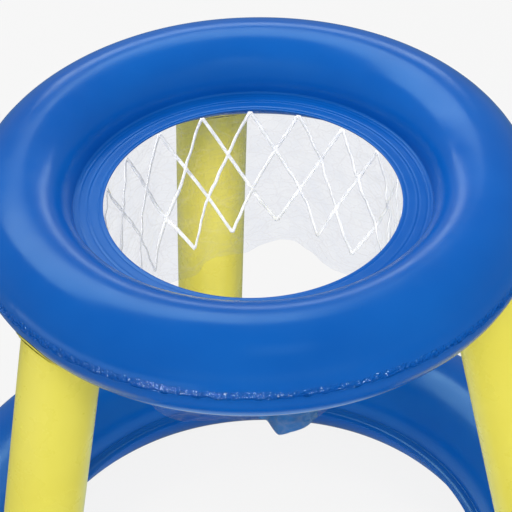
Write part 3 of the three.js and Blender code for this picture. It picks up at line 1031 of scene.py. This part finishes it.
def joined(parts):
    """Several closed shapes, each with its faces turned out, as one set of points and faces."""
    points, faces, count = [], [], 0
    for part_points, part_faces in parts:
        step = 1 if volume(part_points, part_faces) > 0 else -1
        points.append(part_points)
        faces += [part[:, ::step] + count for part in part_faces]
        count += len(part_points)
    return np.concatenate(points), faces


# Shares of the patch's width, and heights above the ring in millimetres
PATCH_PROFILE = [
    (0, 0.1), (0, 0.5), (0.34, 0.5), (0.4, 0.75), (0.46, 0.5), (0.6, 0.5), (0.66, 0.75),
    (0.72, 0.5), (0.92, 0.5), (0.98, 0.4), (1, 0.25), (1, 0.03), (0.5, 0.03),
]
PATCH_START = 20 * MM


def valve_patch(valve):
    """The welded disc round the valve, which lies on the ring and has pressed circles."""
    layers = []
    for share, rise in PATCH_PROFILE:
        radius = VALVE_HOLE + (PATCH_RADIUS - VALVE_HOLE) * share
        start = valve.to_world(on_circles(round_angles(120), radius, -PATCH_START))
        direction = np.broadcast_to(valve.out, start.shape)
        far = along_leg(valve.ring, start, direction, 2 * PATCH_START, rise * MM)
        layers.append(valve.to_local(start + direction * far[:, None]))
    return closed_grid(np.stack(layers, 1))


def boot_profile():
    outside = [(BOOT_RADIUS, -BOOT_DEPTH), (BOOT_RADIUS, RIM_BASE), (BOOT_RIM, RIM_BASE), (BOOT_RIM, RIM_TOP)]
    return rounded([(BOOT_BORE, -BOOT_DEPTH)] + outside + [(BOOT_BORE, RIM_TOP)], MOULD_EDGE)


def stem_profile():
    lip = STEM_TOP - MOULD_EDGE
    foot = [(STEM_BORE, -STEM_DEPTH), (STEM_RADIUS, -STEM_DEPTH)]
    rim = [(STEM_RADIUS, STEM_PROUD), (STEM_RIM, STEM_PROUD), (STEM_RIM, STEM_TOP), (STEM_RADIUS, STEM_TOP)]
    return rounded(foot + rim + [(STEM_RADIUS, lip), (STEM_BORE, lip)], MOULD_EDGE)


def cap_profile():
    """The cap with its plug, which has a groove behind its tip, and a dished top."""
    edge, top, tip = MOULD_EDGE, CAP_BASE + CAP_THICKNESS, CAP_BASE - PLUG_LENGTH
    plug = STEM_BORE - edge
    taper, shoulder, neck = (tip + rise for rise in PLUG_RISES)
    profile = [(0, tip), (plug * 0.8, tip), (plug, taper), (plug, shoulder), (plug * 0.92, neck)]
    profile += [(plug, CAP_BASE), (STEM_RIM - edge, CAP_BASE), (STEM_RIM, CAP_BASE + edge)]
    profile += [(STEM_RIM, top - 2 * edge), (STEM_RIM - edge, top - edge), (STEM_RIM - 2 * edge, top)]
    profile += [(CAP_DISH + 0.4 * MM, top), (CAP_DISH, top - edge)]
    return profile + [(CAP_CENTRE, top - edge), (0, top - edge)]


def flap_profile():
    top = -STEM_DEPTH - MOULD_EDGE
    base = top - FLAP_THICKNESS
    corner = [(FLAP_RADIUS - MOULD_EDGE, base), (FLAP_RADIUS, base + MOULD_EDGE)]
    return [(0, base)] + corner + [(FLAP_RADIUS, top), (0, top)]


def add_valve(name, valve):
    """A valve's patch, boot, stem with its strap and hinge, cap and inner flap."""
    strap_start = -STEM_RIM + MOULD_EDGE
    fold = bead(-HINGE_REACH, (STEM_TOP + CAP_BASE) / 2, HINGE_RADIUS, STRAP_WIDTH)
    stem_parts = [lathe(stem_profile()), strap(strap_start, -HINGE_REACH, STEM_PROUD, STEM_TOP), fold]
    cap_strap = strap(strap_start, -HINGE_REACH, CAP_BASE, CAP_BASE + STRAP_THICKNESS)
    pieces = [
        ("disc", [valve_patch(valve)], "frame", "patch"),
        ("collar", [lathe(boot_profile())], "frame", "boot"),
        ("tube", stem_parts, f"{name}_stem", "stem"),
        ("plug", [knob(cap_profile()), cap_strap], f"{name}_cap", "cap"),
        ("leaf", [knob(flap_profile())], f"{name}_flap", "flap"),
    ]
    for piece, parts, body, node in pieces:
        points, faces = joined(parts)
        obj = make_object(f"{name}_valve_{piece}", valve.to_world(points), faces, MILKY, MOULD_CREASE)
        place(obj, body, "milky_vinyl", f"{name}_valve_{node}")


add_valve("hoop", HOOP_VALVE)
add_valve("base", BASE_VALVE)


# Floor, light and camera

WORLD_LIGHT = 0.66
GLOSS_LIGHT = 0.3
# The floor's glow in gloss, bright and tinted blue near the middle, is a painted reflection on the vinyl's
# rims
FLOOR_GLOSS_GLOW = 0.85
SEEN_LIGHT = 0.93
SEEN_SHARE = 0.94
FLOOR_GLOW_EDGE = (0.16, 0.2)
RIM_REFLECTION_TINT = (0.6, 0.82, 1, 1)
PLAIN = (1, 1, 1, 1)
FLOOR_REACH = 8.0
FLOOR_HEIGHT = -0.4 * MM
FRONT_LEFT = (-0.45, -0.95, 1.9)
PANEL = (0.5, 0.5)


def floor():
    """A pale floor that shows bright to the camera and keeps a soft shadow. In gloss it glows, bright and
    tinted blue near the middle: a painted reflection on the vinyl's rims.
    """
    material, tree, shader = new_material("pale_floor")
    grain = noise(tree, 300.0, 3.0)
    pale = two_colours(tree, grain, (0.89, 0.89, 0.89), (0.91, 0.91, 0.91))
    fill(tree, shader, {"Base Color": pale, "Roughness": 0.6})
    rays = add_node(tree, "LightPath", {}).outputs
    spot = add_node(tree, "TexCoord", {}).outputs["Object"]
    reach = add_node(tree, "VectorMath", {0: spot}, operation="LENGTH").outputs["Value"]
    painted_reflection = ranged(tree, reach, (FLOOR_GLOSS_GLOW, GLOSS_LIGHT), FLOOR_GLOW_EDGE)
    lit = shader.outputs["BSDF"]
    glows = [("Is Glossy Ray", painted_reflection, 1, RIM_REFLECTION_TINT), ("Is Camera Ray", SEEN_LIGHT, SEEN_SHARE, PLAIN)]
    for ray, brightness, share, colour in glows:
        glow = add_node(tree, "Emission", {"Color": colour, "Strength": brightness}).outputs["Emission"]
        lit = mixed(tree, combined(tree, "MULTIPLY", rays[ray], share), lit, glow)
    fill(tree, tree.nodes["Material Output"], {"Surface": lit})
    square = [(-1, -1), (1, -1), (1, 1), (-1, 1)]
    corners = [(x * FLOOR_REACH, y * FLOOR_REACH, FLOOR_HEIGHT) for x, y in square]
    mesh = bpy.data.meshes.new("floor")
    mesh.from_pydata(corners, [], [(0, 1, 2, 3)])
    mesh.materials.append(material)
    obj = bpy.data.objects.new("floor", mesh)
    bpy.context.scene.collection.objects.link(obj)


def soft_light(
    name, at, target, size, brightness, only=(), lights=True, shines=True, roll=0, colour=(1, 1, 1),
):
    """A flat lamp of the given width and height, as bright as a surface of that brightness.

    It lights surfaces, shows in their gloss, or both, on all pieces or on only some."""
    lamp = bpy.data.lights.new(name, "AREA")
    lamp.shape = "RECTANGLE"
    lamp.size, lamp.size_y = size
    lamp.color = colour
    lamp.energy = brightness * math.pi * size[0] * size[1]
    obj = bpy.data.objects.new(name, lamp)
    obj.location = at
    aim = (Vector(target) - Vector(at)).to_track_quat("-Z", "Y")
    obj.rotation_euler = (aim @ Quaternion((0, 0, 1), math.radians(roll))).to_euler()
    obj.visible_camera = False
    obj.visible_diffuse, obj.visible_glossy = lights, shines
    if only:
        lit = bpy.data.collections.new(f"{name}_lit")
        for piece in only:
            lit.objects.link(piece)
        obj.light_linking.receiver_collection = lit
    bpy.context.scene.collection.objects.link(obj)


def world():
    """Even light from all round, behind which the camera sees the floor's pale grey."""
    background = bpy.data.worlds.new("studio")
    background.use_nodes = True
    tree = background.node_tree
    rays = add_node(tree, "LightPath", {}).outputs
    fill(tree, tree.nodes["Background"], {"Color": PLAIN, "Strength": WORLD_LIGHT})
    lit = tree.nodes["Background"].outputs["Background"]
    for ray, brightness in (("Is Glossy Ray", GLOSS_LIGHT), ("Is Camera Ray", SEEN_LIGHT)):
        seen = add_node(tree, "Background", {"Color": (brightness, brightness, brightness, 1)})
        lit = mixed(tree, rays[ray], lit, seen.outputs["Background"])
    fill(tree, tree.nodes["World Output"], {"Surface": lit})
    bpy.context.scene.world = background


def camera():
    """The photograph's view: its place, its downward tilt and slight roll, and its narrow lens."""
    stand = Vector((-0.0023, -1.2191, 1.4810))
    pitch, yaw, roll = 0.706, 0.003, -0.026
    focal_pixels, frame_pixels, sensor = 1950.7, 512, 36.0
    ahead = Vector((math.sin(yaw) * math.cos(pitch), math.cos(yaw) * math.cos(pitch), -math.sin(pitch)))
    right = Vector((math.cos(yaw), -math.sin(yaw), 0))
    up = right.cross(ahead)
    tilted_right = math.cos(roll) * right + math.sin(roll) * up
    tilted_up = -math.sin(roll) * right + math.cos(roll) * up
    data = bpy.data.cameras.new("camera")
    data.sensor_width = sensor
    data.lens = focal_pixels / frame_pixels * sensor
    obj = bpy.data.objects.new("camera", data)
    turned = Matrix((tilted_right, tilted_up, -ahead)).transposed().to_4x4()
    obj.matrix_world = Matrix.Translation(stand) @ turned
    bpy.context.scene.collection.objects.link(obj)
    bpy.context.scene.camera = obj


floor()
world()
soft_light("back_softbox", (-0.77, 1.278, 2.459), (0, 0, 0.5), (2.05, 1.2), 3.1, roll=-15)
soft_light("back_strip", (0, 0.57, 0.74), (0, 0.2, 0.53), (0.6, 0.1), 2.4, lights=False)
soft_light("front_top", (0.2, -1.1, 2.0), (0, 0, 0.45), PANEL, 10, shines=False)
soft_light("front_low", (0, -2.0, 0.5), (0, 0, 0.4), (2.6, 0.5), 2.1, shines=False)
soft_light("net_light", FRONT_LEFT, (0, 0, 0.45), PANEL, 20, [skirt], shines=False)
soft_light("strand_light", FRONT_LEFT, (0, 0, 0.45), PANEL, 34, [lattice_piece], shines=False)
soft_light("leg_light", FRONT_LEFT, (0, 0, 0.3), PANEL, 70, [BACK_LEG], shines=False, colour=(1, 0.8, 0.3))
soft_light(
    "right_leg_light", (-0.9, -1.5, 0.5), (0.2, -0.1, 0.3), PANEL, 5, [RIGHT_LEG], shines=False,
    colour=(1, 0.93, 0.7),
)
soft_light("inner_fill", (0.03, -0.06, 0.7), (0.05, 0.17, 0.49), (0.3, 0.1), 1.2, HOOP_SKINS, shines=False)
soft_light("floor_bounce", (0, 0, 0.012), (0, 0, 1), (0.34, 0.34), 0.7, shines=False)
soft_light("low_card", (-0.85, -0.62, 0.06), (0, 0, 0.5), (1.6, 0.3), 0.9, lights=False)
soft_light("seam_glint", (-0.2, -1.1, 0.35), (0, -0.2, 0.5), (1.1, 0.04), 95, SEAMS, lights=False)
camera()
bpy.context.scene.view_settings.view_transform = "Standard"
